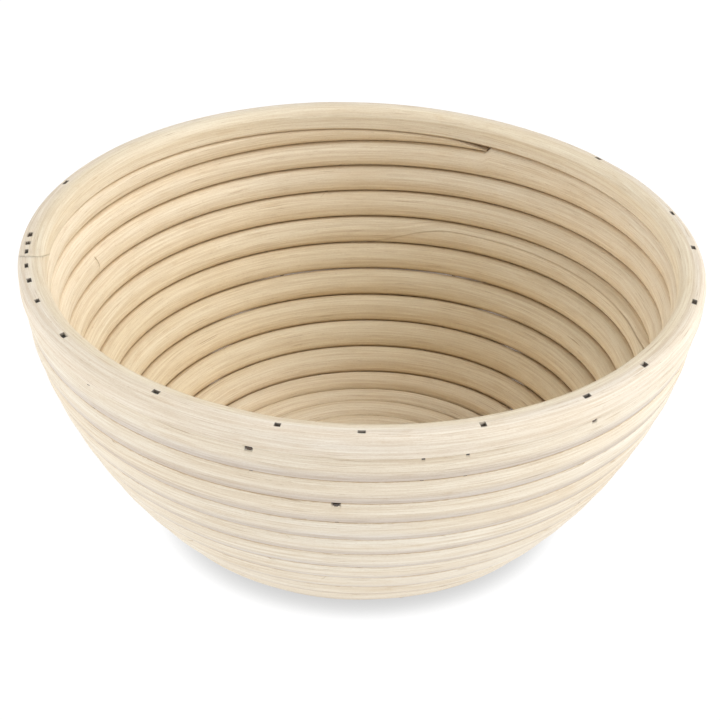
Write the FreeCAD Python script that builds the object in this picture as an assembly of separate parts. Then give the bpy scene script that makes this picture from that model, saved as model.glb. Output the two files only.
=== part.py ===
"""Banneton: a round proofing basket coiled from two lengths of rattan cane under a rim hoop.

The frame is +Z up with the origin at the middle of the underside.
Places on the wall are given as (s, v): s is the distance along the outer face of the wall,
from the middle of the floor to the top, and v is the depth from that face towards the inside.
"""
import FreeCAD, Part
import math
import os

# ---- overall size, mm ----
outer_diameter = 220.0       # across the rim hoop
total_height = 98.6          # underside to the highest side of the rim hoop
corner_radius = 18.0         # outside radius where the floor turns up
foot_slope = 45.0            # wall's slope just above that corner, degrees from level
shoulder_slope = 67.5        # wall's slope where its curve tightens
shoulder_share = 0.60        # share of the height at which that is
top_slope = 90.0             # wall's slope at the rim

# ---- the cane of the coil ----
cane_pitch = 9.69            # one turn to the next
cane_gap = 0.08              # between neighbouring turns
cane_thickness = 8.8         # outer face to the crest of the round inner side
cane_dome = 4.6              # how high the round inner side stands over the flat sides
cane_edge_radius = 1.3       # outer edges, rounded by sanding
cane_crown = 0.35            # how far the outer edges fall back from the middle of the outer face
centre_radius = 5.2          # where the middle of the cane starts
tip_width = 0.7              # blunt tips of the tail and of the splice

# ---- the tail of the coil, pared down so that the hoop sits nearly level ----
tail_angle = 65.0            # where the tail ends, degrees anticlockwise from +X
tail_drop = 0.42             # the turn under the tip stands this much under the seat, in pitches
tail_point_sweep = 24.0      # the last stretch, rounded off to the tip
hoop_lean = 0.24             # how much the seat leans, in pitches either way
hoop_lean_angle = -5.0       # the side where the seat is lowest
hoop_dip = 0.08              # how far the hoop is pulled down past the tail, in pitches
hoop_dip_angle = 45.0
hoop_dip_spread = 35.0

# ---- the splice between the two lengths ----
splice_before_tail = 3.93    # turns from the middle of the splice to the tail's tip
splice_slant = 20.0          # sweep of each slanted end, degrees
splice_straight = 60.0       # sweep of the long seam between them
splice_level = 0.66          # share of the cane's width under that seam
splice_gap = 0.2             # between the two lengths along it

# ---- the rim hoop ----
hoop_height = 8.8
hoop_thickness = 8.8
hoop_overhang = 0.6          # how far it stands out past the wall
hoop_top_radius = 3.5
hoop_inner_radius = 2.4      # lower inside edge
hoop_outer_radius = 1.4      # lower outside edge
hoop_joint_angle = 181.5     # where the middle of its joint is
hoop_joint_bevel = 2.0       # run of the bevelled ends for each millimetre of height
hoop_joint_gap = 0.12
hoop_joint_ease = 40.0       # sweep over which the bevel starts

# ---- brads: flat wire nails with a T head ----
brad_length = 15.0
brad_shank = 1.1
brad_thickness = 1.2
brad_head_width = 2.1
brad_head_depth = 0.7
brad_point = 2.0
brad_sunk = 0.25             # head below the side that it was driven into
brad_depth = 4.0             # in from the outer face of the wall
brad_spacing = 62.0          # along the cane
brad_room = 1.0              # kept between one brad and the next
hoop_brad_depth = 2.3
hoop_brad_sunk = 0.9
hoop_brad_angles = (-147, -124, -103, -90, -71, -52, -38, -15, 4, 17, 41, 60, 80, 101, 121, 141, 158)
hoop_joint_brad_angles = (178, 181, 184, 189, 194, 201)
splice_brad_angles = (55, 34)
shallow_brad_depth = 1.3     # brads so near the outer face that their heads show in its grooves
shallow_brads_at = ((-164, 0), (-139, 0), (-107.5, 0), (-80.5, 0), (-73.5, 0), (-50.5, 0), (-94, 2))
brad_stages = 15             # the coil's brads are kept in this many lots, from the middle outwards

sections_per_turn = 36

# ---- worked out from the sizes above ----
foot = math.radians(foot_slope)
shoulder = math.radians(shoulder_slope)
top = math.radians(top_slope)
corner_rise = corner_radius * (1 - math.cos(foot))
shoulder_rise = shoulder_share * total_height
belly = (shoulder_rise - corner_rise) / (math.cos(foot) - math.cos(shoulder))
brow = (total_height - shoulder_rise) / (math.cos(shoulder) - math.cos(top))
top_radius = outer_diameter / 2 - hoop_overhang + hoop_top_radius * math.cos(top)
shoulder_radius = top_radius - brow * (math.sin(top) - math.sin(shoulder))
foot_radius = shoulder_radius - belly * (math.sin(shoulder) - math.sin(foot))
floor_radius = foot_radius - corner_radius * math.sin(foot)
corner_end = floor_radius + corner_radius * foot
shoulder_end = corner_end + belly * (shoulder - foot)
wall_end = shoulder_end + brow * (top - shoulder)

cane_width = cane_pitch - cane_gap
seat_middle = wall_end - hoop_height - hoop_lean * cane_pitch
tail_middle = seat_middle + (0.5 - tail_drop) * cane_pitch
coil_turns = (tail_middle - centre_radius) / cane_pitch
coil_steps = round(coil_turns * sections_per_turn)
step_sweep = 360.0 * coil_turns / coil_steps


def smooth(x):
    """0 below 0, 1 above 1, and an easy curve between."""
    x = min(max(x, 0.0), 1.0)
    return x * x * (3 - 2 * x)


def wall_point(s, v):
    """Radius and height of the point at distance s along the outer face and depth v."""
    if s <= floor_radius:
        radius, height, slope = s, 0.0, 0.0
    elif s <= corner_end:
        slope = (s - floor_radius) / corner_radius
        radius = floor_radius + corner_radius * math.sin(slope)
        height = corner_radius * (1 - math.cos(slope))
    elif s <= shoulder_end:
        slope = foot + (s - corner_end) / belly
        radius = foot_radius + belly * (math.sin(slope) - math.sin(foot))
        height = corner_rise + belly * (math.cos(foot) - math.cos(slope))
    else:
        slope = shoulder + (s - shoulder_end) / brow
        radius = shoulder_radius + brow * (math.sin(slope) - math.sin(shoulder))
        height = shoulder_rise + brow * (math.cos(shoulder) - math.cos(slope))
    return radius - v * math.sin(slope), height + v * math.cos(slope), slope


def place(s, v, angle, bevel=0.0, middle_height=0.0):
    """The point (s, v) at an angle round the basket, carried along the rim by a bevel."""
    radius, height, _ = wall_point(s, v)
    along = bevel * (height - middle_height)
    out = math.sqrt(radius * radius - along * along)
    a = math.radians(angle)
    return FreeCAD.Vector(out * math.cos(a) - along * math.sin(a),
                          out * math.sin(a) + along * math.cos(a), height)


# ---- cross-sections: a closed loop of cubic pieces, each of four (s, v) poles ----
def line(a, b):
    return [(a[0] + (b[0] - a[0]) * k / 3, a[1] + (b[1] - a[1]) * k / 3) for k in range(4)]


def oval_arc(centre, half_s, half_v, start, end):
    """Part of an oval, from one angle to another, in radians."""
    reach = 4 / 3 * math.tan((end - start) / 4)
    first = (centre[0] + half_s * math.cos(start), centre[1] + half_v * math.sin(start))
    last = (centre[0] + half_s * math.cos(end), centre[1] + half_v * math.sin(end))
    return [first,
            (first[0] - reach * half_s * math.sin(start), first[1] + reach * half_v * math.cos(start)),
            (last[0] + reach * half_s * math.sin(end), last[1] - reach * half_v * math.cos(end)),
            last]


def cane_section(middle, low, high):
    """The cane's outline about s = middle, kept between s = low and s = high."""
    half = cane_width / 2
    flat = cane_thickness - cane_dome
    crown = cane_crown * smooth((middle + half - floor_radius) / corner_radius)
    edge = min(cane_edge_radius, 0.35 * (high - low))

    def face(s):
        return crown * ((s - middle) / half) ** 2

    def face_slope(s):
        return 2 * crown * (s - middle) / half ** 2

    a, b = low + edge, high - edge
    third = (b - a) / 3
    outer = [(a, face(a)), (a + third, face(a) + third * face_slope(a)),
             (b - third, face(b) - third * face_slope(b)), (b, face(b))]
    turn = 0.55 * edge
    high_edge = [(b, face(b)), (b + turn, face(b) + turn * face_slope(b)),
                 (high, face(b) + edge - turn), (high, face(b) + edge)]
    low_edge = [(low, face(a) + edge), (low, face(a) + edge - turn),
                (a - turn, face(a) - turn * face_slope(a)), (a, face(a))]
    from_high = math.acos(min(1.0, (high - middle) / half))
    to_low = math.acos(max(-1.0, (low - middle) / half))
    crest = (from_high + to_low) / 2
    dome_high = oval_arc((middle, flat), half, cane_dome, from_high, crest)
    dome_low = oval_arc((middle, flat), half, cane_dome, crest, to_low)
    return [outer, high_edge, line(high_edge[3], dome_high[0]), dome_high, dome_low,
            line(dome_low[3], low_edge[0]), low_edge]


def hoop_section(low):
    """The hoop's outline standing on s = low: a round top and softened lower edges."""
    high = low + hoop_height
    out, inn = -hoop_overhang, hoop_thickness - hoop_overhang
    top_r, in_r, out_r = hoop_top_radius, hoop_inner_radius, hoop_outer_radius
    quarter = math.pi / 2
    corner_a = oval_arc((high - top_r, out + top_r), top_r, top_r, -quarter, 0)
    corner_b = oval_arc((high - top_r, inn - top_r), top_r, top_r, 0, quarter)
    corner_c = oval_arc((low + in_r, inn - in_r), in_r, in_r, quarter, 2 * quarter)
    corner_d = oval_arc((low + out_r, out + out_r), out_r, out_r, 2 * quarter, 3 * quarter)
    loop = []
    for here, after in ((corner_a, corner_b), (corner_b, corner_c), (corner_c, corner_d),
                        (corner_d, corner_a)):
        loop += [here, line(here[3], after[0])]
    return loop


# ---- a solid swept through such sections ----
def spline_poles(points, start_rate, end_rate):
    """Poles of the cubic spline through evenly spaced points, with given end rates."""
    n = len(points) - 1
    first = points[0] + start_rate / 3
    last = points[n] - end_rate / 3
    if n == 1:
        return [points[0], first, last, points[1]]
    low, diag, high, rhs = [], [], [], []
    for i in range(1, n):
        low.append(1 / 4 if i == 1 else 1 / 6)
        high.append(1 / 4 if i == n - 1 else 1 / 6)
        diag.append(2 / 3 if 1 < i < n - 1 else 7 / 12)
        rhs.append(points[i])
    if n == 2:
        diag[0] = 1 / 2
    rhs[0] = rhs[0] - first * low[0]
    rhs[-1] = rhs[-1] - last * high[-1]
    for i in range(1, len(rhs)):
        share = low[i] / diag[i - 1]
        diag[i] -= share * high[i - 1]
        rhs[i] = rhs[i] - rhs[i - 1] * share
    inner = [None] * len(rhs)
    inner[-1] = rhs[-1] / diag[-1]
    for i in range(len(rhs) - 2, -1, -1):
        inner[i] = (rhs[i] - inner[i + 1] * high[i]) / diag[i]
    return [points[0], first] + inner + [last, points[n]]


def strip_face(rows, level):
    """The face between four rows of poles, or a flat face where they lie level."""
    spans = len(rows[0]) - 3
    knots = [float(i) for i in range(spans + 1)]
    mults = [4] + [1] * (spans - 1) + [4]
    if level:
        sides = []
        for row in (rows[0], rows[3]):
            curve = Part.BSplineCurve()
            curve.buildFromPolesMultsKnots(row, mults, knots, False, 3)
            sides.append(curve.toShape())
        ends = [Part.makeLine(rows[0][k], rows[3][k]) for k in (0, -1)]
        return Part.Face(Part.Wire(Part.__sortEdges__(sides + ends)))
    surface = Part.BSplineSurface()
    poles = [[rows[j][i] for j in range(4)] for i in range(len(rows[0]))]
    surface.buildFromPolesMultsKnots(poles, mults, [4, 4], knots, [0.0, 1.0], False, False, 3, 3)
    return surface.toShape()


def cap_face(section):
    edges = []
    for piece in section:
        curve = Part.BezierCurve()
        curve.setPoles(piece)
        edges.append(curve.toShape())
    return Part.Face(Part.Wire(edges))


def sweep(section_at, first, last, level_until=-1):
    """The solid through section_at(i) for i from first to last, one run of faces a turn.

    The outer face, which is each section's first piece, is level up to level_until.
    """
    breaks = set(range(first, last, sections_per_turn)) | {last}
    if first < level_until < last:
        breaks = {b for b in breaks if abs(b - level_until) > 2 or b in (first, last)} | {level_until}
    breaks = sorted(breaks)
    faces = [cap_face(section_at(first)), cap_face(section_at(last))]
    for begin, end in zip(breaks[:-1], breaks[1:]):
        sections = [section_at(i) for i in range(begin, end + 1)]
        nudge = 1e-3
        around = [section_at(i + d) for i in (begin, end) for d in (-nudge, nudge)]
        for k in range(len(sections[0])):
            rows = []
            for j in range(4):
                rates = [(around[m + 1][k][j] - around[m][k][j]) / (2 * nudge) for m in (0, 2)]
                rows.append(spline_poles([section[k][j] for section in sections], *rates))
            faces.append(strip_face(rows, k == 0 and end <= level_until))
    shell = Part.makeShell(faces)
    shell.sewShape()
    solid = Part.makeSolid(Part.Shell(shell.Faces))
    if solid.Volume < 0:
        solid.reverse()
    return solid


# ---- where the coil runs ----
def coil_angle(i):
    """The angle round the basket at step i; the coil climbs clockwise, seen from above."""
    return tail_angle + (coil_steps - i) * step_sweep


def coil_middle(i):
    return centre_radius + cane_pitch * i * step_sweep / 360


def hoop_seat(angle):
    """Distance along the wall at which the hoop stands on the coil."""
    lean = hoop_lean * math.cos(math.radians(angle - hoop_lean_angle))
    past = (angle - hoop_dip_angle + 180) % 360 - 180
    dip = hoop_dip * math.exp(-(past / hoop_dip_spread) ** 2)
    return seat_middle - (lean + dip) * cane_pitch


def coil_top(i):
    """Upper side of the coil, pared down along the tail."""
    full = coil_middle(i) + cane_width / 2
    if i < coil_steps - sections_per_turn - 2:
        return full
    low = coil_middle(i) - cane_width / 2
    seated = min(full, hoop_seat(coil_angle(i)) - cane_gap / 2)
    left = (coil_steps - i) * step_sweep / tail_point_sweep
    point = math.sin(math.pi / 2 * min(left, 1.0))
    return low + tip_width + (seated - low - tip_width) * point


splice_steps = (2 * splice_slant + splice_straight) / step_sweep
splice_first = coil_steps - splice_before_tail * 360 / step_sweep - splice_steps / 2


def splice_share(i):
    """Share of the cane's width that lies under the seam, at step i."""
    sweep_done = (i - splice_first) * step_sweep
    rising = splice_level * smooth(sweep_done / splice_slant)
    closing = smooth((sweep_done - splice_slant - splice_straight) / splice_slant)
    return rising + (1 - splice_level) * closing


def seam(i):
    return coil_middle(i) - cane_width / 2 + cane_width * splice_share(i)


lower_end = max(i for i in range(coil_steps)
                if (1 - splice_share(i)) * cane_width > tip_width)
upper_start = min(i for i in range(coil_steps)
                  if splice_share(i) * cane_width > tip_width)
level_end = max(i for i in range(coil_steps) if coil_middle(i + 1) + cane_width / 2 < floor_radius)


def placed(section, angle, bevel=0.0, middle_height=0.0):
    return [[place(s, v, angle, bevel, middle_height) for s, v in piece] for piece in section]


def lower_cane_at(i):
    middle = coil_middle(i)
    low = middle - cane_width / 2
    if splice_share(i) > 0:
        low = seam(i) + splice_gap / 2
    return placed(cane_section(middle, low, middle + cane_width / 2), coil_angle(i))


def upper_cane_at(i):
    middle = coil_middle(i)
    high = coil_top(i)
    if splice_share(i) < 1:
        high = seam(i) - splice_gap / 2
    return placed(cane_section(middle, middle - cane_width / 2, high), coil_angle(i))


def make_lower_cane():
    return sweep(lower_cane_at, 0, lower_end, level_end)


def make_upper_cane():
    return sweep(upper_cane_at, upper_start, coil_steps)


def make_hoop():
    steps = sections_per_turn
    gap_sweep = math.degrees(hoop_joint_gap / top_radius)
    joint_seat = hoop_seat(hoop_joint_angle)
    joint_height = wall_point(joint_seat + hoop_height / 2, 0)[1]

    def hoop_at(i):
        gone = i * (360 - gap_sweep) / steps
        angle = hoop_joint_angle - gap_sweep / 2 - gone
        near = 1 - smooth(gone / hoop_joint_ease) + smooth((gone - 360 + hoop_joint_ease) / hoop_joint_ease)
        low = hoop_seat(angle) + cane_gap / 2
        return placed(hoop_section(low), angle, hoop_joint_bevel * near, joint_height)

    return sweep(hoop_at, 0, steps)


# ---- brads ----
def brad():
    """One brad, driven along -Z from its head at the origin, its flat side along X."""
    head, shank = brad_head_width / 2, brad_shank / 2
    outline = [(-head, 0), (head, 0), (head, -brad_head_depth), (shank, -brad_head_depth),
               (shank, -brad_length + brad_point), (shank / 3, -brad_length),
               (-shank / 3, -brad_length), (-shank, -brad_length + brad_point),
               (-shank, -brad_head_depth), (-head, -brad_head_depth)]
    points = [FreeCAD.Vector(x, -brad_thickness / 2, z) for x, z in outline]
    face = Part.Face(Part.makePolygon(points + points[:1]))
    return face.extrude(FreeCAD.Vector(0, brad_thickness, 0))


def driven_brad(s, v, angle):
    """A brad with its head at (s, v), driven down the wall into the turn below."""
    radius, height, _ = wall_point(s, v)
    tip_radius, tip_height, _ = wall_point(s - brad_length, v)
    run = math.hypot(radius - tip_radius, height - tip_height)
    up_r, up_z = (radius - tip_radius) / run, (height - tip_height) / run
    a = math.radians(angle)
    along = FreeCAD.Vector(-math.sin(a), math.cos(a), 0)
    up = FreeCAD.Vector(up_r * math.cos(a), up_r * math.sin(a), up_z)
    across = up.cross(along)
    at = FreeCAD.Vector(radius * math.cos(a), radius * math.sin(a), height)
    matrix = FreeCAD.Matrix(along.x, across.x, up.x, at.x,
                            along.y, across.y, up.y, at.y,
                            along.z, across.z, up.z, at.z,
                            0, 0, 0, 1)
    nail = brad()
    nail.Placement = FreeCAD.Placement(matrix)
    return nail


def hoop_places(angles):
    return [(hoop_seat(angle) + hoop_height - hoop_brad_sunk, angle) for angle in angles]


def coil_places(marks):
    """On top of the coil, for each (angle, whole turns before the last)."""
    places = []
    for angle, turns_back in marks:
        i = coil_steps - (360 * turns_back + (angle - tail_angle) % 360) / step_sweep
        places.append((coil_top(i) - brad_sunk, angle))
    return places


def is_clear(s, angle, taken):
    """Whether a brad driven here misses the ones already driven into the same wood."""
    radius = wall_point(s - brad_length, brad_depth)[0]
    for other_s, other_angle in taken:
        turn_apart = math.radians((angle - other_angle + 180) % 360 - 180)
        if abs(turn_apart) * radius < brad_head_width + brad_room and abs(s - other_s) < brad_length + brad_room:
            return False
    return True


def places_along_coil(taken):
    """Along the coil, each turn nailed to the one inside or below it; gives lots of places."""
    lots = [[] for _ in range(brad_stages)]
    i = begin = float(sections_per_turn)
    while i < coil_steps:
        s = coil_top(i) - brad_sunk
        whole = coil_top(i) > coil_middle(i) + cane_width / 2 - cane_gap
        spliced = upper_start - 1 <= i <= lower_end + 1
        steps_per_mm = 360 / (2 * math.pi * wall_point(s, brad_depth)[0] * step_sweep)
        if whole and not spliced and s > brad_length + brad_room and is_clear(s, coil_angle(i), taken):
            taken.append((s, coil_angle(i)))
            lots[int(brad_stages * (i - begin) / (coil_steps - begin))].append(taken[-1])
            i += brad_spacing * steps_per_mm
        else:
            i += brad_head_width * steps_per_mm
    return lots


def brads(places, depth):
    return Part.makeCompound([driven_brad(s, depth, angle) for s, angle in places])


def write(name, shape):
    shape.exportStep("parts/" + name + ".step")
    print(name, "solids", len(shape.Solids), "valid", shape.isValid(), "volume", round(shape.Volume, 1))


os.makedirs("parts", exist_ok=True)
write("coil_lower_cane", make_lower_cane())
write("coil_upper_cane", make_upper_cane())
write("rim_hoop", make_hoop())
rim_places = hoop_places(hoop_brad_angles)
joint_places = hoop_places(hoop_joint_brad_angles)
splice_places = coil_places([(angle, math.floor(splice_before_tail + 0.5) - 1) for angle in splice_brad_angles])
shallow_places = coil_places(shallow_brads_at)
write("rim_brads", brads(rim_places, hoop_brad_depth))
write("rim_joint_brads", brads(joint_places, hoop_brad_depth))
write("splice_brads", brads(splice_places, brad_depth))
write("shallow_brads", brads(shallow_places, shallow_brad_depth))
lots = places_along_coil(rim_places + joint_places + splice_places + shallow_places)
for stage, places in enumerate(lots, 1):
    write("coil_brads_%02d" % stage, brads(places, brad_depth))
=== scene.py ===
import math

import bpy
import numpy as np
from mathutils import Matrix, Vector


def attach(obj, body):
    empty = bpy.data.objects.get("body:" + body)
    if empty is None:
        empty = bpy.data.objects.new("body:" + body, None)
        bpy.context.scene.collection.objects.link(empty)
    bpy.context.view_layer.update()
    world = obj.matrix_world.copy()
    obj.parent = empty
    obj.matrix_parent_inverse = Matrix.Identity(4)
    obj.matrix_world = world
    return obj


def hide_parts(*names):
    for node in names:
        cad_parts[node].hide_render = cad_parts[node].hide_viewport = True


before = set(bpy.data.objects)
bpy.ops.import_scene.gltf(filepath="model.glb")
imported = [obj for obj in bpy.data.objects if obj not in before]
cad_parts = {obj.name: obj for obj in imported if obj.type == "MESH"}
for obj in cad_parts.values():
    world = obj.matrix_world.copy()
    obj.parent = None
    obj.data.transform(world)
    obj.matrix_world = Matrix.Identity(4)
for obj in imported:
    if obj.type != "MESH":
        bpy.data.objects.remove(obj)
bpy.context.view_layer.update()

# ---- the lower length of cane ----
# Round rattan cane, wound clockwise from the middle of the floor, over the floor, round the
# corner and up the wall. Each turn is nailed to the last, and the outside is sanded flatter.

# Sizes are in metres. A sweep is the angle run along the coil from its start, in degrees.
outer_diameter = 0.220
total_height = 0.0986
corner_radius = 0.018
foot = math.radians(45)
shoulder = math.radians(67.5)
shoulder_share = 0.60
top = math.radians(90)
hoop_height = 0.0088
hoop_overhang = 0.0006
hoop_top_radius = 0.0035
corner_rise = corner_radius * (1 - math.cos(foot))
shoulder_rise = shoulder_share * total_height
belly = (shoulder_rise - corner_rise) / (math.cos(foot) - math.cos(shoulder))
brow = (total_height - shoulder_rise) / (math.cos(shoulder) - math.cos(top))
top_radius = outer_diameter / 2 - hoop_overhang + hoop_top_radius * math.cos(top)
shoulder_radius = top_radius - brow * (math.sin(top) - math.sin(shoulder))
foot_radius = shoulder_radius - belly * (math.sin(shoulder) - math.sin(foot))
floor_radius = foot_radius - corner_radius * math.sin(foot)
corner_end = floor_radius + corner_radius * foot
shoulder_end = corner_end + belly * (shoulder - foot)
wall_end = shoulder_end + brow * (top - shoulder)

cane_pitch = 0.00969
cane_gap = 0.00008
cane_width = cane_pitch - cane_gap
cane_thickness = 0.0088
cane_dome = 0.0046  # depth of the round inner side
cane_edge_radius = 0.0005
cane_edge_limit = 0.35  # most of the width that one edge may take
cane_crown = 0.00085  # how far the outer face falls back at its edges
cane_crown_power = 2.4
cane_crown_on_floor = 0.25  # share of the crown left where the floor is sanded flat
rib_fullness = 0.8
centre_radius = 0.0052
tail_angle = 65.0
tail_drop = 0.42
hoop_lean = 0.24
seat_middle = wall_end - hoop_height - hoop_lean * cane_pitch
coil_turns = (seat_middle + (0.5 - tail_drop) * cane_pitch - centre_radius) / cane_pitch
coil_sweep = 360 * coil_turns
splice_before_tail = 3.93
splice_slant = 20.0
splice_straight = 60.0
splice_level = 0.66
splice_gap = 0.00004
splice_start = coil_sweep - splice_before_tail * 360 - splice_slant - splice_straight / 2


def smooth(x):
    """0 below 0, 1 above 1, and an easy curve between."""
    x = np.clip(x, 0, 1)
    return x * x * (3 - 2 * x)


def wander(x, seed, wavelength):
    """A smooth uneven line through seeded random heights from -1 to 1, one each wavelength."""
    x = np.asarray(x) / wavelength
    first = int(np.floor(x.min())) - 1
    heights = np.random.default_rng(seed).uniform(-1, 1, int(np.ceil(x.max())) - first + 4)
    whole = np.floor(x).astype(int)
    part = x - whole
    a, b, c, d = (heights[whole - first + k - 1] for k in range(4))
    bend = 1.5 * (b - c) + (d - a) / 2
    return b + part * ((c - a) / 2 + part * (a - 2.5 * b + 2 * c - d / 2 + part * bend))


def wall_point(s, v):
    """Radius and height at depth v, a distance s along the outer face from the floor's middle."""
    corner = np.clip((s - floor_radius) / corner_radius, 0, foot)
    lower = foot + np.clip((s - corner_end) / belly, 0, shoulder - foot)
    upper = shoulder + np.maximum(s - shoulder_end, 0) / brow
    slope = corner + lower - foot + upper - shoulder
    radius = (np.minimum(s, floor_radius) + corner_radius * np.sin(corner)
              + belly * (np.sin(lower) - math.sin(foot))
              + brow * (np.sin(upper) - math.sin(shoulder)))
    height = (corner_radius * (1 - np.cos(corner)) + belly * (math.cos(foot) - np.cos(lower))
              + brow * (math.cos(shoulder) - np.cos(upper)))
    return radius - v * np.sin(slope), height + v * np.cos(slope)


def coil_middle(sweep):
    """Distance along the wall of the cane's middle line."""
    return centre_radius + cane_pitch * sweep / 360


def coil_angle(sweep):
    """The coil climbs clockwise, seen from above."""
    return tail_angle + coil_sweep - sweep


def splice_share(sweep):
    """Share of the cane's width that lies under the splice's seam."""
    done = sweep - splice_start
    closing = smooth((done - splice_slant - splice_straight) / splice_slant)
    return splice_level * smooth(done / splice_slant) + (1 - splice_level) * closing


def seam(sweep):
    """Distance along the wall of the splice's seam."""
    return coil_middle(sweep) + cane_width * (splice_share(sweep) - 0.5)


face_columns = np.array([[0, 0.05, 0.14, 0.32, 0.5, 0.68, 0.86, 0.95, 1]])
edge_points = 5
dome_points = 19
side_points = 4


def cane_outline(low, middle, high):
    """Outlines of the cane between low and high, as s and v rows: the outer face first, then
    the upper side, the round inner side and the lower side."""
    low, middle, high = (np.asarray(x)[:, None] for x in (low, middle, high))
    half = cane_width / 2
    flat = cane_thickness - cane_dome
    up_corner = (middle + half - floor_radius) / corner_radius
    crown = cane_crown * smooth(cane_crown_on_floor + (1 - cane_crown_on_floor) * up_corner)
    edge = np.minimum(cane_edge_radius, cane_edge_limit * (high - low))
    s_face = low + edge + (high - low - 2 * edge) * face_columns
    v_face = crown * np.abs((s_face - middle) / half) ** cane_crown_power
    turn = np.linspace(0, math.pi / 2, edge_points)[None, 1:]
    s_up = high - edge + edge * np.sin(turn)
    v_up = v_face[:, -1:] + edge * (1 - np.cos(turn))
    v_down = v_face[:, :1] + edge * (1 - np.cos(turn[:, ::-1]))
    s_down = low + edge - edge * np.sin(turn[:, ::-1])
    start = np.arccos(np.clip((high - middle) / half, -1, 1))
    stop = np.arccos(np.clip((low - middle) / half, -1, 1))
    swing = start + (stop - start) * np.linspace(0, 1, dome_points)[None, :]
    s_dome = middle + half * np.cos(swing)
    v_dome = flat + cane_dome * np.sin(swing) ** rib_fullness
    rise = np.linspace(0, 1, side_points)[None, 1:-1]
    v_side = v_up[:, -1:] + (v_dome[:, :1] - v_up[:, -1:]) * rise
    v_fall = v_dome[:, -1:] + (v_down[:, :1] - v_dome[:, -1:]) * rise
    s = np.hstack([s_face, s_up, high + 0 * v_side, s_dome, low + 0 * v_fall, s_down])
    v = np.hstack([v_face, v_up, v_side, v_dome, v_fall, v_down])
    return s, v


def distance_round(s, v):
    """Distance round each closed outline, from its first point back to itself."""
    steps = np.hypot(np.roll(s, -1, axis=1) - s, np.roll(v, -1, axis=1) - v)
    return np.concatenate([np.zeros((len(s), 1)), np.cumsum(steps, axis=1)], axis=1)


def swept_mesh(name, points, along, around, tones):
    """A closed skin through rows of points. UV map 'cane' holds along, each row's distance along
    the cane, and around, each column's distance round it; tones are values kept at the points."""
    rows, columns = points.shape[:2]
    ring = np.arange(columns)
    after = (ring + 1) % columns
    i = np.arange(rows - 1)[:, None] * columns
    faces = np.stack([i + ring, i + after, i + columns + after, i + columns + ring], axis=2)
    middle_points = [points[0].mean(axis=0), points[-1].mean(axis=0)]
    vertices = np.concatenate([points.reshape(-1, 3), middle_points])
    first, last = rows * columns, rows * columns + 1
    end = (rows - 1) * columns
    caps = [(first, after[k], ring[k]) for k in ring]
    caps += [(last, end + ring[k], end + after[k]) for k in ring]
    caps = [tuple(int(corner) for corner in cap) for cap in caps]
    mesh = bpy.data.meshes.new(name)
    mesh.from_pydata(vertices.tolist(), [], faces.reshape(-1, 4).tolist() + caps)
    u = np.broadcast_to(np.asarray(along)[:, None], (rows, columns + 1))
    k = np.arange(rows - 1)[:, None]
    corners = [(k, ring), (k, ring + 1), (k + 1, ring + 1), (k + 1, ring)]
    uv = np.stack([np.stack([u[c], around[c]], axis=2) for c in corners], axis=2).reshape(-1, 2)
    cap_uv = []
    for row, ends in ((0, (1, 0)), (rows - 1, (0, 1))):
        for c in range(columns):
            centre = (u[row, 0], around[row].mean())
            cap_uv += [centre] + [(u[row, 0], around[row, c + e]) for e in ends]
    layer = mesh.uv_layers.new(name="cane")
    uv = np.concatenate([uv, np.array(cap_uv)])
    layer.data.foreach_set("uv", uv.astype(np.float32).ravel())
    for tone, values in tones.items():
        held = mesh.attributes.new(tone, "FLOAT", "POINT")
        values = np.concatenate([values.ravel(), [values[0].mean(), values[-1].mean()]])
        held.data.foreach_set("value", values.astype(np.float32))
    mesh.shade_smooth()
    piece = bpy.data.objects.new(name, mesh)
    bpy.context.scene.collection.objects.link(piece)
    return piece


# Each gouge, torn by a brad near the outer face: angle, turns before the last, half length, height.
gouges = ((-164, 0, 0.0008, 0.6), (-139, 0, 0.0006, 0.5), (-107.5, 0, 0.00115, 1.0),
          (-80.5, 0, 0.0005, 0.5), (-73.5, 0, 0.0005, 0.5), (-50.5, 0, 0.0009, 0.9),
          (-94, 2, 0.0013, 0.8))
gouge_rows = (-1.3, -1.12, -0.95, 0.0, 0.95, 1.12, 1.3)  # in half lengths from its middle
gouge_end = 1.05
gouge_height = 0.0013
gouge_face = 0.0026
gouge_depth = 0.0014
# How far the painted shade reaches round each gouge.
gouge_shade_end = 1.12
gouge_shade_fade = 6
gouge_shade_height = 0.0011
gouge_shade_face = 0.0030
row_spacing = 0.0024
widest_step = 6.0
closest_step = 0.05
mid_depth = 0.003


def gouge_sweeps():
    """Sweep, half length and height of each gouge."""
    return [(coil_sweep - 360 * back - (angle - tail_angle) % 360, half, tall)
            for angle, back, half, tall in gouges]


def coil_rows(start, stop):
    """Sweeps from start to stop: closer in the small turns and round each gouge."""
    sweeps = [start]
    while sweeps[-1] < stop:
        radius = wall_point(coil_middle(sweeps[-1]), mid_depth)[0]
        sweeps.append(sweeps[-1] + min(widest_step, math.degrees(row_spacing / radius)))
    for sweep, half, _ in gouge_sweeps():
        radius = wall_point(coil_middle(sweep), 0.0)[0]
        for step in gouge_rows:
            sweeps.append(sweep + math.degrees(step * half / radius))
    return np.array([x for x in sorted(sweeps) if start <= x < stop - closest_step] + [stop])


def cane_length(sweeps):
    """Distance along the cane at each sweep."""
    radius = wall_point(coil_middle(sweeps), mid_depth)[0]
    steps = np.radians(np.diff(sweeps)) * (radius[1:] + radius[:-1]) / 2
    return np.concatenate([[0], np.cumsum(steps)])


swell_size, swell_wave = 0.00026, 0.038
ripple_size, ripple_wave = 0.00012, 0.011
lean_size, lean_wave = 0.00030, 0.055
sanding_depth, sanding_wave, sanding_reach = 0.00010, 0.020, 0.002
sanding_start = 0.004  # past the edge of the floor
shrink = 0.0001
round_from = 0.45  # share of the thickness at which the round inner side begins
end_ease = 4


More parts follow.
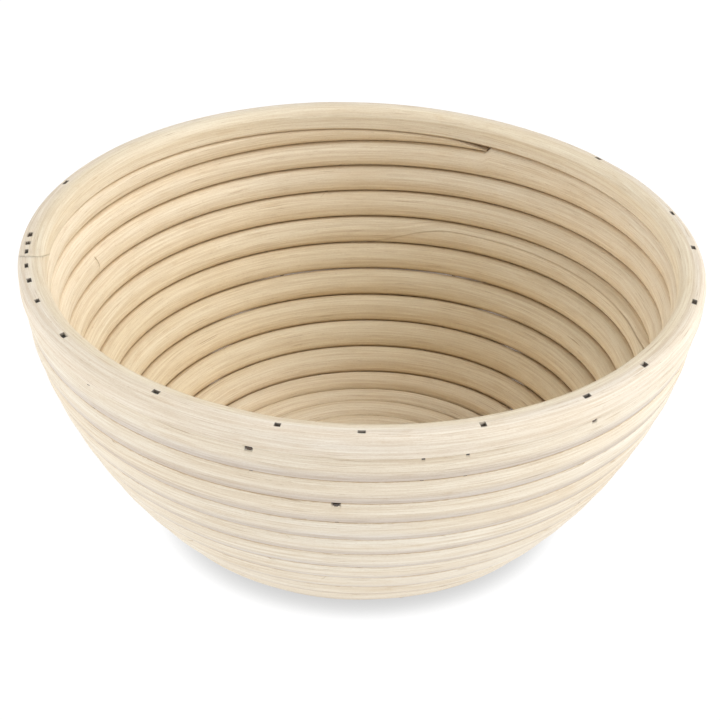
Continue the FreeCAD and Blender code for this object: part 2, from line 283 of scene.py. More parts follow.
def coil_piece(name, sweeps, low, high, seed, widened=0.0):
    """A length of the coil. No two turns are quite alike: the round side swells and leans a
    little, and the outside is sanded unevenly."""
    middle = coil_middle(sweeps)
    length = cane_length(sweeps)
    s, v = cane_outline(low, middle, high)
    around = distance_round(s[:, ::-1], v[:, ::-1])
    up = np.clip((s - low[:, None]) / (high - low)[:, None], 0, 1)
    s = low[:, None] + (s - low[:, None]) * (1 + widened / (high - low))[:, None]
    rise = smooth((v / cane_thickness - round_from) / (1 - round_from))
    swell = (swell_size * wander(length, seed, swell_wave)
             + ripple_size * wander(length, seed + 1, ripple_wave))
    lean = lean_size * wander(length, seed + 2, lean_wave)
    ends = smooth((sweeps - sweeps[0]) / end_ease) * smooth((sweeps[-1] - sweeps) / end_ease)
    v = v + rise * ((swell - shrink) * ends)[:, None]
    s = s + rise * 4 * up * (1 - up) * (lean * ends)[:, None]
    on_wall = middle > floor_radius + sanding_start
    worn = sanding_depth * (1 + wander(length, seed + 3, sanding_wave)) * ends * on_wall
    v = v + (1 - smooth(v / sanding_reach)) * worn[:, None]
    painted_shade = np.zeros(s.shape)
    for sweep, half, tall in gouge_sweeps():
        radius = wall_point(coil_middle(sweep), 0.0)[0]
        along = (np.abs(np.radians(sweeps - sweep)) * radius / half)[:, None]
        below_top = high[:, None] - s
        cut = (along < gouge_end) & (below_top < gouge_height * tall) & (v < gouge_face)
        v = np.where(cut & (s > middle[:, None]), np.maximum(v, gouge_depth), v)
        # Painted shade: the torn notch and a little round it are painted near-black.
        near = (np.clip(gouge_shade_fade * (gouge_shade_end - along), 0, 1)
                * (below_top < gouge_shade_height * tall) * (v < gouge_shade_face))
        painted_shade = np.maximum(painted_shade, near * (s > middle[:, None]))
    radius, height = wall_point(s, v)
    angle = np.radians(coil_angle(sweeps))[:, None]
    points = np.stack([radius * np.cos(angle), radius * np.sin(angle), height], axis=2)
    tones = {"up": up, "inside": smooth(v / cane_thickness), "painted_shade": painted_shade}
    tones = {tone: values[:, ::-1] for tone, values in tones.items()}
    return swept_mesh(name, points[:, ::-1], length, around, tones)


splice_end_trim = 0.6
lower_stop = splice_start + 2 * splice_slant + splice_straight
sweeps = coil_rows(0.0, lower_stop - splice_end_trim)
lower_side = np.where(splice_share(sweeps) > 0, seam(sweeps) + splice_gap / 2,
                      coil_middle(sweeps) - cane_width / 2)
lower_cane = coil_piece("coil_lower_cane_skin", sweeps, lower_side,
                        coil_middle(sweeps) + cane_width / 2, seed=11)


def node(tree, kind, **settings):
    made = tree.nodes.new(kind)
    for key, value in settings.items():
        setattr(made, key, value)
    return made


def link(tree, *pairs):
    for outlet, inlet in pairs:
        tree.links.new(outlet, inlet)


def sums(tree, operation, *values):
    """A Math node whose inputs are sockets or numbers; gives its outlet."""
    made = node(tree, "ShaderNodeMath", operation=operation)
    for inlet, value in zip(made.inputs, values):
        if isinstance(value, (int, float)):
            inlet.default_value = value
        else:
            tree.links.new(value, inlet)
    return made.outputs[0]


def spread(tree, value, start, stop, low=0.0, high=1.0):
    """Maps start..stop of a value to low..high, kept inside, with eased ends."""
    made = node(tree, "ShaderNodeMapRange", interpolation_type="SMOOTHSTEP")
    for inlet, setting in zip(made.inputs[1:5], (start, stop, low, high)):
        inlet.default_value = setting
    tree.links.new(value, made.inputs[0])
    return made.outputs[0]


def blended(tree, share, first, second, kind="MIX"):
    """A colour between first and second, each a colour or a socket, by share."""
    made = node(tree, "ShaderNodeMix", data_type="RGBA", blend_type=kind)
    # Of a Mix node's sockets, 0 is the share, 6 and 7 are the colours and 2 is the result.
    for socket, value in ((0, share), (6, first), (7, second)):
        if isinstance(value, tuple):
            made.inputs[socket].default_value = value + (1,)
        elif isinstance(value, float):
            made.inputs[socket].default_value = value
        else:
            tree.links.new(value, made.inputs[socket])
    return made.outputs[2]


def tinted(tree, colour, mask, strength, tint):
    """The colour multiplied by a tint where the mask is, as strongly as strength says."""
    return blended(tree, sums(tree, "MULTIPLY", mask, strength), colour, tint, "MULTIPLY")


def noise(tree, place, stretch, detail, roughness):
    """Noise over a place in metres, stretched by a number of waves a metre each way."""
    scaled = node(tree, "ShaderNodeVectorMath", operation="MULTIPLY")
    scaled.inputs[1].default_value = stretch
    made = node(tree, "ShaderNodeTexNoise")
    made.inputs["Scale"].default_value = 1.0
    made.inputs["Detail"].default_value = detail
    made.inputs["Roughness"].default_value = roughness
    link(tree, (place, scaled.inputs[0]), (scaled.outputs[0], made.inputs["Vector"]))
    return made.outputs["Fac"]


def group(name, inlets, outlets):
    """An empty node group with named inputs and outputs, each a name and a socket kind."""
    tree = bpy.data.node_groups.new(name, "ShaderNodeTree")
    for title, kind in inlets:
        tree.interface.new_socket(name=title, in_out="INPUT", socket_type="NodeSocket" + kind)
    for title, kind in outlets:
        tree.interface.new_socket(name=title, in_out="OUTPUT", socket_type="NodeSocket" + kind)
    return tree, node(tree, "NodeGroupInput").outputs, node(tree, "NodeGroupOutput").inputs


# Long straight fibres run the length of the cane, with a few dark ones and broken pores.
fibre_tree, given, made = group(
    "cane fibres", [("Place", "Vector")],
    [("Tone", "Float"), ("Dark Fibre", "Float"), ("Height", "Float")])
fine = noise(fibre_tree, given["Place"], (60, 3400, 1), 4.0, 0.7)
streak = noise(fibre_tree, given["Place"], (14, 900, 1), 3.0, 0.6)
dark = noise(fibre_tree, given["Place"], (60, 2300, 7), 2.0, 0.5)
pore = noise(fibre_tree, given["Place"], (330, 3600, 3), 2.0, 0.5)
tone = sums(fibre_tree, "ADD", sums(fibre_tree, "MULTIPLY", fine, 0.55),
            sums(fibre_tree, "MULTIPLY", streak, 0.45))
link(fibre_tree, (spread(fibre_tree, tone, 0.38, 0.62), made["Tone"]))
lines = sums(fibre_tree, "MAXIMUM", spread(fibre_tree, dark, 0.64, 0.74),
             sums(fibre_tree, "MULTIPLY", spread(fibre_tree, pore, 0.66, 0.74), 0.8))
link(fibre_tree, (lines, made["Dark Fibre"]))
raised = sums(fibre_tree, "SUBTRACT", fine, sums(fibre_tree, "MULTIPLY", lines, 0.5))
link(fibre_tree, (raised, made["Height"]))

# The cane's colour drifts over a hand's breadth, and dough and handling leave faint blotches.
patch_tree, given, made = group(
    "cane patches", [("Place", "Vector")], [("Drift", "Float"), ("Blotch", "Float")])
drift = noise(patch_tree, given["Place"], (9, 60, 1), 3.0, 0.55)
link(patch_tree, (spread(patch_tree, drift, 0.3, 0.7), made["Drift"]))
blotch = noise(patch_tree, given["Place"], (70, 260, 1), 3.0, 0.6)
link(patch_tree, (spread(patch_tree, blotch, 0.56, 0.76), made["Blotch"]))

# The first tint is painted shade for the inner wall's low and middle height.
inner_waist_shade_tint = (0.94, 0.92, 0.86)
blotch_tint = (0.82, 0.72, 0.58)
fibre_tint = (0.77, 0.69, 0.60)
grain_tint = (0.84, 0.78, 0.70)
dark_fibre_tint = (0.52, 0.38, 0.25)
# Near-black painted shade for nail slots, notches and the hoop's joint.
shade_black = (0.012, 0.008, 0.006)
cane_roughness, cane_roughness_spread = 0.52, 0.22
cane_bump_strength, cane_bump_depth = 0.45, 0.00022
cane_specular = 0.32


def cane_material(name, sanded, round_side, drifted, lower_face_shade, seam_brown_and_shade, seam_width,
                  seam_width_inside):
    """Bare cane: sanded is its colour outside and round_side inside. The seams are browned,
    partly as a thin dark line and partly as painted shade in the groove.
    """
    finish = bpy.data.materials.new(name)
    finish.use_nodes = True
    tree = finish.node_tree
    shader = tree.nodes["Principled BSDF"]
    place = node(tree, "ShaderNodeUVMap", uv_map="cane").outputs["UV"]
    fibres = node(tree, "ShaderNodeGroup", node_tree=fibre_tree)
    patches = node(tree, "ShaderNodeGroup", node_tree=patch_tree)
    link(tree, (place, fibres.inputs["Place"]), (place, patches.inputs["Place"]))
    up, inside, painted_shade = (node(tree, "ShaderNodeAttribute", attribute_name=key).outputs["Fac"]
                         for key in ("up", "inside", "painted_shade"))
    inner = spread(tree, inside, 0.25, 0.75)
    colour = blended(tree, inner, sanded, round_side)
    colour = tinted(tree, colour, patches.outputs["Drift"], 0.55, drifted)
    height = node(tree, "ShaderNodeSeparateXYZ")
    link(tree, (node(tree, "ShaderNodeTexCoord").outputs["Object"], height.inputs[0]))
    # Painted shade: the round inner side of the wall is tinted darker, most between about 2 and 4
    # cm up, fading out by about 1 cm and 8 cm, where less light reaches into the bowl.
    waist_shade = sums(tree, "MULTIPLY", spread(tree, height.outputs["Z"], 0.009, 0.022),
                 spread(tree, height.outputs["Z"], 0.078, 0.040))
    colour = tinted(tree, colour, waist_shade, inner, inner_waist_shade_tint)
    # Painted shade: the lower part of each turn's outer face, which faces down, is tinted grey; on
    # the hoop it is faint on its outer side and strongest near its seat.
    painted_lower_shade = sums(tree, "MULTIPLY", spread(tree, up, 0.62, 0.10),
                      sums(tree, "SUBTRACT", 1.0, inner))
    colour = tinted(tree, colour, painted_lower_shade, 0.9, lower_face_shade)
    colour = tinted(tree, colour, patches.outputs["Blotch"], 0.35, blotch_tint)
    colour = tinted(tree, colour, fibres.outputs["Tone"], 0.75, fibre_tint)
    grain = spread(tree, noise(tree, place, (1100, 3600, 1), 2.0, 0.7), 0.35, 0.65)
    colour = tinted(tree, colour, grain, 0.30, grain_tint)
    colour = tinted(tree, colour, fibres.outputs["Dark Fibre"], 0.55, dark_fibre_tint)
    # The seams between turns are browned: partly a thin brown line, partly painted shade in the
    # groove.
    edge = sums(tree, "ABSOLUTE", sums(tree, "SUBTRACT", sums(tree, "MULTIPLY", up, 2.0), 1.0))
    ragged = noise(tree, place, (320, 900, 1), 3.0, 0.7)
    ragged = sums(tree, "MULTIPLY", sums(tree, "SUBTRACT", ragged, 0.5), 0.16)
    edge = sums(tree, "ADD", edge, ragged)
    outside_seam = spread(tree, edge, 1 - seam_width, 1.0)
    inside_seam = spread(tree, edge, 1 - seam_width_inside, 1.0)
    depth = sums(tree, "ADD",
                 sums(tree, "MULTIPLY", outside_seam, sums(tree, "SUBTRACT", 1.0, inner)),
                 sums(tree, "MULTIPLY", inside_seam, inner))
    colour = blended(tree, sums(tree, "MULTIPLY", depth, 0.8), colour, seam_brown_and_shade)
    # Painted shade: slots, notches and the hoop's joint are painted near-black by the mask.
    colour = blended(tree, painted_shade, colour, shade_black)
    rough = sums(tree, "ADD", cane_roughness,
                 sums(tree, "MULTIPLY", fibres.outputs["Tone"], cane_roughness_spread))
    bump = node(tree, "ShaderNodeBump")
    bump.inputs["Strength"].default_value = cane_bump_strength
    bump.inputs["Distance"].default_value = cane_bump_depth
    link(tree, (colour, shader.inputs["Base Color"]), (rough, shader.inputs["Roughness"]),
         (fibres.outputs["Height"], bump.inputs["Height"]),
         (bump.outputs["Normal"], shader.inputs["Normal"]))
    shader.inputs["Specular IOR Level"].default_value = cane_specular
    return finish


# The grey tint is painted shade on the downward-facing lower part of each turn's outer face.
# The seam colour is partly a thin brown line, partly painted shade in the groove between turns.
coil_finish = cane_material(
    "coil cane", sanded=(0.925, 0.868, 0.755), round_side=(0.93, 0.845, 0.685),
    drifted=(0.95, 0.89, 0.80), lower_face_shade=(0.76, 0.75, 0.81), seam_brown_and_shade=(0.62, 0.47, 0.30),
    seam_width=0.07, seam_width_inside=0.15)
lower_cane.data.materials.append(coil_finish)
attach(lower_cane, "root")
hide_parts("coil_lower_cane")

# ---- the upper length of cane ----
# The same cane, laid on from the splice up to its end under the hoop at the back right. Its last
# turn is pared down to a thin tail, so that the hoop sits nearly level.
tip_width = 0.0012
tail_point_sweep = 8.0
trimmed_sweep = 380  # the last of the coil, trimmed to the hoop
hoop_lean_angle = -5.0
hoop_dip = 0.08
hoop_dip_angle = 45.0
hoop_dip_spread = 35.0
widened_from = 0.3
widened_to = 180
most_widening = 0.0045


def hoop_seat(angle):
    """Distance along the wall at which the hoop stands on the coil."""
    lean = hoop_lean * np.cos(np.radians(angle - hoop_lean_angle))
    past = (angle - hoop_dip_angle + 180) % 360 - 180
    dip = hoop_dip * np.exp(-(past / hoop_dip_spread) ** 2)
    return seat_middle - (lean + dip) * cane_pitch


def coil_top(sweep):
    """Upper side of the coil, trimmed to the hoop and pared to a point at the tail's tip."""
    low = coil_middle(sweep) - cane_width / 2
    seated = np.minimum(low + cane_width, hoop_seat(coil_angle(sweep)) - cane_gap / 2)
    point = np.sin(math.pi / 2 * np.clip((coil_sweep - sweep) / tail_point_sweep, 0, 1))
    pared = low + tip_width + (seated - low - tip_width) * point
    return np.where(sweep < coil_sweep - trimmed_sweep, low + cane_width, pared)


def widening(sweep):
    """How much wider the cane is just past the tail's tip, where it alone meets the hoop."""
    gap = hoop_seat(coil_angle(sweep)) - coil_middle(sweep) - cane_width / 2 - cane_gap
    past = (sweep > coil_sweep - 360 + widened_from) & (sweep < coil_sweep - widened_to)
    return np.where(past, np.clip(gap, 0, most_widening), 0)


sweeps = coil_rows(splice_start + splice_end_trim, coil_sweep)
upper_side = np.where(splice_share(sweeps) < 1, seam(sweeps) - splice_gap / 2, coil_top(sweeps))
upper_cane = coil_piece("coil_upper_cane_skin", sweeps, coil_middle(sweeps) - cane_width / 2,
                        upper_side, seed=21, widened=widening(sweeps))
upper_cane.data.materials.append(coil_finish)
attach(upper_cane, "root")
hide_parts("coil_upper_cane")

# ---- the rim hoop ----
# One more length of cane, round on top, bent into a ring and nailed on with its two ends cut to
# long bevels that meet at the left. Each nail is punched in, which leaves a slot; its dark is
# painted shade.
hoop_thickness = 0.0088
hoop_inner_radius = 0.0013
hoop_outer_radius = 0.0014
hoop_joint_angle = 181.5
hoop_joint_bevel = 2.0
hoop_joint_gap = 0.00005
hoop_joint_ease = 40.0
hoop_brad_depth = 0.0023
hoop_brad_angles = (-147, -124, -103, -90, -71, -52, -38, -15, 4, 17, 41, 60, 80, 101, 121, 141,
                    158, 178, 181, 184, 189, 194, 201)
closed_over = (60, 80, 101, 121, 141)  # the cane has closed over these, so they show no slot
slot_half = 0.00098
slot_half_width = 0.00058
slot_depth = 0.00150
slot_top = 0.0022
slot_columns = (-2.2, -1.5, -1.12, -0.98, -0.5, 0, 0.5, 0.98, 1.12, 1.5, 2.2)
slot_rows = (-1.9, -1.35, -1.1, -0.97, -0.8, 0, 0.8, 0.97, 1.1, 1.35, 1.9)
slot_end, slot_side, slot_ease = 1.06, 1.07, 0.10
dent_from, dent_fade, dent_depth = 1.1, 0.5, 0.00013
# How dark, and how far, the painted shade reaches round each slot.
slot_shade, slot_shade_edge, slot_shade_ease = 0.8, 1.30, 0.22
shape = np.random.default_rng(5)
slots = [(angle, slot_half * shape.uniform(0.8, 1.3), slot_half_width * shape.uniform(0.85, 1.25))
         for angle in hoop_brad_angles if angle not in closed_over]

face_points, round_points, back_points, corner_points, base_points = 7, 12, 5, 6, 6
out, inn = -hoop_overhang, hoop_thickness - hoop_overhang
shoulder_height = hoop_height - hoop_top_radius
face_out = np.linspace(hoop_outer_radius, shoulder_height, face_points)
quarter = np.linspace(0, math.pi / 2, round_points)
outline = [(h, out) for h in face_out]
over = set(np.round(out + hoop_top_radius * (1 - np.cos(quarter)), 6))
over |= set(np.round(inn - hoop_top_radius * (1 - np.cos(quarter)), 6))
over |= {round(hoop_brad_depth + k * slot_half_width, 6) for k in slot_columns}


def over_top(v):
    """Height of the hoop's round top above its seat at depth v."""
    edge = max(out + hoop_top_radius - v, v - inn + hoop_top_radius, 0.0)
    rise = math.sqrt(max(hoop_top_radius ** 2 - edge ** 2, 0.0))
    return shoulder_height + rise


outline += [(over_top(v), v) for v in sorted(over) if out < v < inn]
outline += [(h, inn) for h in np.linspace(shoulder_height, hoop_inner_radius, back_points)]
turn = np.linspace(0, math.pi / 2, corner_points)
outline += [(hoop_inner_radius * (1 - math.sin(a)), inn - hoop_inner_radius * (1 - math.cos(a)))
            for a in turn[1:]]
base = np.linspace(inn - hoop_inner_radius, out + hoop_outer_radius, base_points)
outline += [(0.0, v) for v in base[1:]]
outline += [(hoop_outer_radius * (1 - math.cos(a)), out + hoop_outer_radius * (1 - math.sin(a)))
            for a in turn[1:-1]]
outline = np.array(outline)

gap_sweep = math.degrees(hoop_joint_gap / top_radius)
joint_height = wall_point(hoop_seat(hoop_joint_angle) + hoop_height / 2, 0)[1]


def hoop_shift(gone, s, v):
    """How far the bevelled joint carries a point along the hoop."""
    near = (1 - smooth(gone / hoop_joint_ease)
            + smooth((gone - 360 + hoop_joint_ease) / hoop_joint_ease))
    return hoop_joint_bevel * near * (wall_point(s, v)[1] - joint_height)


# Rows go clockwise from the joint. Where they cross a slot is found on the hoop's top.
hoop_rows = 560
finer_rows = 8000
gone = np.linspace(0, 360 - gap_sweep, hoop_rows)
fine_gone = np.linspace(0, 360 - gap_sweep, finer_rows)
row_angle = hoop_joint_angle - gap_sweep / 2 - fine_gone
top_shift = hoop_shift(fine_gone, hoop_seat(row_angle) + hoop_height, hoop_brad_depth)
top_angle = row_angle + np.degrees(top_shift / top_radius)
notches = [gouge for gouge in gouges if gouge[1] == 0]
rows = [gone]
for angle, half in [slot[:2] for slot in slots] + [(notch[0], notch[2]) for notch in notches]:
    centre = (angle - hoop_joint_angle + 180) % 360 - 180 + hoop_joint_angle
    centre = centre if centre < top_angle[0] else centre - 360
    for step in slot_rows:
        target = centre + math.degrees(step * half / top_radius)
        if top_angle[-1] < target < top_angle[0]:
            rows.append(np.interp([-target], -top_angle, fine_gone))
gone = np.unique(np.round(np.concatenate(rows), 4))
gone[-1] = 360 - gap_sweep

# The hoop swells unevenly on its inner side, and sinks a little where it does.
hoop_swell_size, hoop_swell_wave = 0.00016, 0.045
hoop_ripple_size, hoop_ripple_wave = 0.00007, 0.013
hoop_end_ease = 3
upper_half = 0.004
inner_part = 0.005
swell_ease = 0.003
row_angle = hoop_joint_angle - gap_sweep / 2 - gone
seat = hoop_seat(row_angle) + cane_gap / 2
length = np.radians(gone) * top_radius
swell = (hoop_swell_size * wander(length, 31, hoop_swell_wave)
         + hoop_ripple_size * wander(length, 32, hoop_ripple_wave))
swell = swell * smooth(gone / hoop_end_ease) * smooth((360 - gone) / hoop_end_ease)
h, v = (np.broadcast_to(outline[:, k], (len(gone), len(outline))) for k in (0, 1))
lifted = smooth((h - upper_half) / upper_half)
inner_side = smooth((v - inner_part) / swell_ease) * smooth(h / swell_ease)
v = v + inner_side * swell[:, None]
s = seat[:, None] + h - lifted * np.abs(swell)[:, None]
shift = hoop_shift(gone[:, None], s, v)
actual = row_angle[:, None] + np.degrees(shift / top_radius)


def along_hoop(angle, half):
    """Distance along the hoop from an angle, in half lengths."""
    return np.abs(np.radians((actual - angle + 180) % 360 - 180)) * top_radius / half


pit = np.zeros(s.shape)
painted_shade = np.zeros(s.shape)
on_top = h > hoop_height - slot_top
for angle, half, half_width in slots:
    along = along_hoop(angle, half)
    aside = np.abs(v - hoop_brad_depth) / half_width
    hole = on_top * smooth((slot_end - along) / slot_ease) * smooth((slot_side - aside) / slot_ease)
    away = np.sqrt(along ** 2 + aside ** 2)
    dent = on_top * np.exp(-np.maximum(away - dent_from, 0) ** 2 / dent_fade) * dent_depth
    pit = np.maximum(pit, np.maximum(hole * slot_depth, dent))
    # Painted shade: the slot is painted near-black and a ring round it is darkened.
    slot_rim_shade = slot_shade * smooth((slot_shade_edge - np.maximum(along, aside)) / slot_shade_ease)
    painted_shade = np.maximum(painted_shade, on_top * np.maximum(hole, slot_rim_shade))

# The brads driven in near the outer face leave a notch in the hoop's lower edge too.
notch_end, notch_height, notch_face, notch_depth = 1.1, 0.0007, 0.0016, 0.0010
for angle, _, half, tall in notches:
    notch = ((along_hoop(angle, half) < notch_end) & (h < notch_height * tall) & (v < notch_face))
    v = np.where(notch, np.maximum(v, notch_depth), v)
    # Painted shade: the notch is painted near-black.
    painted_shade = np.maximum(painted_shade, notch)
radius, height = wall_point(s - pit, v)
reach = np.sqrt(radius ** 2 - shift ** 2)
turned = np.radians(row_angle)[:, None]
points = np.stack([reach * np.cos(turned) - shift * np.sin(turned),
                   reach * np.sin(turned) + shift * np.cos(turned), height], axis=2)

seat_line_and_shade = 0.0016
joint_shade, joint_shade_sweep = 0.15, 0.02
# Where the hoop sits on the coil it takes the seam colour: partly a thin brown line, partly painted
# shade.
up = 0.5 + 0.5 * smooth((seat_line_and_shade - h) / seat_line_and_shade)
ends = np.minimum(gone, 360 - gap_sweep - gone)
# Painted shade: the hoop's two cut ends, inside the joint, are darkened a little.
painted_shade = np.maximum(painted_shade, joint_shade * (ends[:, None] < joint_shade_sweep))
tones = {"up": up, "inside": smooth((v - out) / hoop_thickness), "painted_shade": painted_shade}
tones = {tone: values[:, ::-1] for tone, values in tones.items()}
around = distance_round(outline[None, ::-1, 0], outline[None, ::-1, 1]) * np.ones((len(gone), 1))
hoop = swept_mesh("rim_hoop_skin", points[:, ::-1], length, around, tones)
# The grey tint is painted shade on the hoop's outer side, most near its seat.
hoop_finish = cane_material(
    "hoop cane", sanded=(0.93, 0.870, 0.77), round_side=(0.93, 0.855, 0.70),
    drifted=(0.95, 0.90, 0.81), lower_face_shade=(0.95, 0.92, 0.91), seam_brown_and_shade=(0.50, 0.36, 0.22),
    seam_width=0.5, seam_width_inside=0.5)
hoop.data.materials.append(hoop_finish)
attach(hoop, "root")
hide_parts("rim_hoop")

# ---- the brads ----
# Flat wire nails with T heads, of plain steel that has gone dull and brown in the damp wood.
# They are driven down through the hoop and through each turn of the coil.
worn_steel = (0.03, 0.029, 0.028)
scratched_steel = (0.18, 0.175, 0.17)
rust_brown = (0.16, 0.085, 0.045)
brad_finish = bpy.data.materials.new("dull nail steel")
brad_finish.use_nodes = True
tree = brad_finish.node_tree
shader = tree.nodes["Principled BSDF"]
place = node(tree, "ShaderNodeTexCoord").outputs["Object"]
rust = spread(tree, noise(tree, place, (900, 900, 900), 3.0, 0.6), 0.42, 0.66)
scratch = noise(tree, place, (5000, 5000, 700), 2.0, 0.5)
steel = blended(tree, scratch, worn_steel, scratched_steel)
colour = blended(tree, sums(tree, "MULTIPLY", rust, 0.7), steel, rust_brown)
metal = sums(tree, "SUBTRACT", 0.85, sums(tree, "MULTIPLY", rust, 0.6))
rough = sums(tree, "ADD", 0.38, sums(tree, "MULTIPLY", rust, 0.35))
bump = node(tree, "ShaderNodeBump")
bump.inputs["Strength"].default_value = 0.4
bump.inputs["Distance"].default_value = 0.00005
link(tree, (colour, shader.inputs["Base Color"]), (metal, shader.inputs["Metallic"]),
     (rough, shader.inputs["Roughness"]), (scratch, bump.inputs["Height"]),
     (bump.outputs["Normal"], shader.inputs["Normal"]))
for name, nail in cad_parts.items():
    if "brads" in name:
        nail.data.materials.clear()
        nail.data.materials.append(brad_finish)

# ---- loose fibres ----
# Sanding and nailing lift short fibres out of the cane, mostly along the seams. Each stays rooted
# in the cane at one end and curls off it at the other.
outside_fibres = 150
inside_fibres = 110
clear_of_tail = 30
shortest_fibre = 0.0012
lowest_lift = 0.0002
drift_spread = 0.0004
thinnest_fibre, thickest_fibre = 0.00005, 0.00011
fibre_root = 0.0001
fibre_curl = 1.9
fibre_bend = 1.5
fibre_taper = 0.6
fibre_sides = 4
fibre_steps = 7
pick = np.random.default_rng(77)


def loose_fibre(sweep, up, outside, length, lift, drift, thickness):
    """Rings of points round one fibre, rooted on the coil at a sweep and a share up the cane."""
    along = np.linspace(0, 1, fibre_steps)
    s = coil_middle(sweep) + cane_width * (up - 0.5) + drift * along ** fibre_bend
    offset = np.clip(2 * (s - coil_middle(sweep)) / cane_width, -1, 1)
    away = lift * np.sin(along * fibre_curl) - fibre_root
    if outside:
        v = cane_crown * np.abs(offset) ** cane_crown_power - away
    else:
        v = cane_thickness - cane_dome * (1 - (1 - offset ** 2) ** (rib_fullness / 2)) + away
    radius, height = wall_point(s, v)
    angle = np.radians(coil_angle(sweep)) + along * length / radius[0]
    path = np.stack([radius * np.cos(angle), radius * np.sin(angle), height], axis=1)
    run = np.gradient(path, axis=0)
    run /= np.linalg.norm(run, axis=1)[:, None]
    aside = np.cross(run, [0, 0, 1.0])
    aside /= np.linalg.norm(aside, axis=1)[:, None]
    over = np.cross(run, aside)
    round_it = np.linspace(0, 2 * math.pi, fibre_sides, endpoint=False)
    size = thickness * (1 - fibre_taper * along)[:, None, None]
    return path[:, None] + size * (np.cos(round_it)[None, :, None] * aside[:, None]
                                   + np.sin(round_it)[None, :, None] * over[:, None])


def fibre_shape(longest, highest):
    """Length, lift, drift and thickness of one fibre, picked at random."""
    return (pick.uniform(shortest_fibre, longest) * pick.choice([-1, 1]),
            pick.uniform(lowest_lift, highest), pick.normal(0, drift_spread),
            pick.uniform(thinnest_fibre, thickest_fibre))


first_wall_sweep = 360 * (floor_radius - centre_radius) / cane_pitch
fibres = []
for _ in range(outside_fibres):
    sweep = pick.uniform(first_wall_sweep, coil_sweep - clear_of_tail)
    edge_up = pick.choice([0.04, 0.96]) + pick.uniform(-0.03, 0.03)
    fibres.append(loose_fibre(sweep, edge_up, True, *fibre_shape(0.0045, 0.0006)))
for _ in range(inside_fibres):
    sweep = pick.uniform(first_wall_sweep * 0.3, coil_sweep - clear_of_tail)
    edge_up = pick.choice([0.06, 0.94])
    fibres.append(loose_fibre(sweep, edge_up, False, *fibre_shape(0.0040, 0.0007)))
long_fibre_angle = 158
long_fibre_sweep = coil_sweep - 2 * 360 - (long_fibre_angle - tail_angle) % 360
fibres.append(loose_fibre(long_fibre_sweep, 0.80, False, 0.0018, 0.0009, -0.0060, 0.00015))
points = np.concatenate([fibre.reshape(-1, 3) for fibre in fibres])
faces = []
for k in range(len(fibres)):
    start = k * fibre_steps * fibre_sides
    for i in range(fibre_steps - 1):
        for j in range(fibre_sides):
            a = start + i * fibre_sides + j
            b = start + i * fibre_sides + (j + 1) % fibre_sides
            faces.append((a, b, b + fibre_sides, a + fibre_sides))
    last = start + (fibre_steps - 1) * fibre_sides
    faces.append(tuple(start + j for j in reversed(range(fibre_sides))))
    faces.append(tuple(last + j for j in range(fibre_sides)))
fibre_mesh = bpy.data.meshes.new("loose_fibres")
fibre_mesh.from_pydata(points.tolist(), [], faces)
fibre_mesh.shade_smooth()
loose = bpy.data.objects.new("loose_fibres", fibre_mesh)
bpy.context.scene.collection.objects.link(loose)

pale_fibre = (0.86, 0.78, 0.64)
brown_fibre = (0.55, 0.42, 0.27)
fibre_finish = bpy.data.materials.new("loose cane fibre")
fibre_finish.use_nodes = True
tree = fibre_finish.node_tree
shader = tree.nodes["Principled BSDF"]
place = node(tree, "ShaderNodeTexCoord").outputs["Object"]
tint = spread(tree, noise(tree, place, (160, 160, 160), 2.0, 0.5), 0.35, 0.65)
link(tree, (blended(tree, tint, pale_fibre, brown_fibre), shader.inputs["Base Color"]),
     (sums(tree, "ADD", 0.55, sums(tree, "MULTIPLY", tint, 0.2)), shader.inputs["Roughness"]))
fibre_mesh.materials.append(fibre_finish)
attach(loose, "root")

# ---- the light, the floor and the camera ----
# The basket stands on a sheet of white paper in a pale room, with three broad windows round it.
# The paper glows by itself, and a painted contact shadow darkens its glow round the basket's foot.
# The camera looks down on it from the front through a long lens.
reach = 4.0
paper_top = -0.0001
contact_shade_reach = 0.010
floor_mesh = bpy.data.meshes.new("floor")
floor_corners = ((-reach, -reach), (reach, -reach), (reach, reach), (-reach, reach))
floor_mesh.from_pydata([(x, y, paper_top) for x, y in floor_corners], [], [(0, 1, 2, 3)])
floor = bpy.data.objects.new("floor", floor_mesh)
bpy.context.scene.collection.objects.link(floor)
paper = bpy.data.materials.new("white paper")
paper.use_nodes = True
tree = paper.node_tree
shader = tree.nodes["Principled BSDF"]
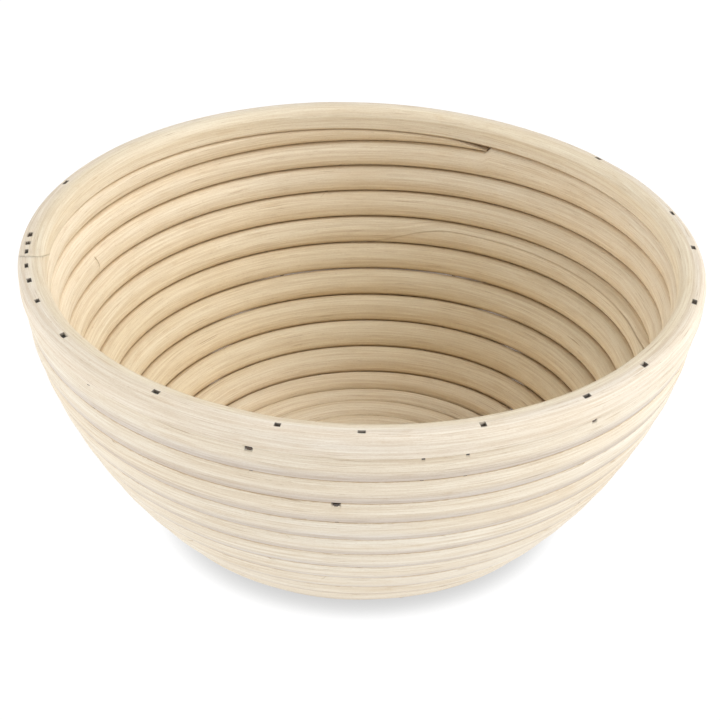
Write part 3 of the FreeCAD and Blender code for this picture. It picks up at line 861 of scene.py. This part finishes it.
# Painted shadow: ambient occlusion dims the paper's glow where the basket stands close over it.
shade = node(tree, "ShaderNodeAmbientOcclusion", samples=16)
shade.inputs["Distance"].default_value = contact_shade_reach
open_share = spread(tree, shade.outputs["AO"], 0.0, 0.75, 0.60, 1.0)
paper_glow = blended(tree, open_share, (0.0, 0.0, 0.0), (1.0, 1.0, 1.0))
shader.inputs["Base Color"].default_value = (0.05, 0.05, 0.05, 1)
shader.inputs["Roughness"].default_value = 1.0
shader.inputs["Specular IOR Level"].default_value = 0.0
link(tree, (paper_glow, shader.inputs["Emission Color"]))
shader.inputs["Emission Strength"].default_value = 1.0
floor_mesh.materials.append(paper)

room_low = (0.72, 0.72, 0.72)
room_high = (0.03, 0.03, 0.03)
world = bpy.data.worlds.new("studio")
world.use_nodes = True
tree = world.node_tree
rise = node(tree, "ShaderNodeSeparateXYZ")
link(tree, (node(tree, "ShaderNodeTexCoord").outputs["Generated"], rise.inputs[0]))
sky = spread(tree, rise.outputs["Z"], 0.0, 0.9)
link(tree, (blended(tree, sky, room_low, room_high), tree.nodes["Background"].inputs["Color"]))
bpy.context.scene.world = world
bpy.context.scene.view_settings.view_transform = "Standard"

window_width = math.radians(50)
window_colour = (1, 0.99, 0.97)
for name, strength, towards in (("right window", 2.05, (1.0, 0.0, 1.2)),
                                ("front window", 0.85, (0.7, -0.7, 0.45)),
                                ("left window", 1.62, (-1.0, 0.0, 0.45))):
    lamp = bpy.data.lights.new(name, "SUN")
    lamp.energy = strength
    lamp.angle = window_width
    lamp.color = window_colour
    window = bpy.data.objects.new(name, lamp)
    bpy.context.scene.collection.objects.link(window)
    window.rotation_euler = Vector(towards).to_track_quat("Z", "Y").to_euler()

camera_lens = 128.98
camera_distance = 0.84788
camera_elevation = math.radians(31.441)
camera_roll = math.radians(0.548)
camera_target = np.array([-0.000669, 0, 0.054463])
lens = bpy.data.cameras.new("camera")
lens.lens = camera_lens
camera = bpy.data.objects.new("camera", lens)
bpy.context.scene.collection.objects.link(camera)
bpy.context.scene.camera = camera
camera.location = camera_target + camera_distance * np.array(
    [0, -math.cos(camera_elevation), math.sin(camera_elevation)])
camera.rotation_euler = (math.pi / 2 - camera_elevation, 0, 0)
camera.rotation_euler.rotate_axis("Z", camera_roll)
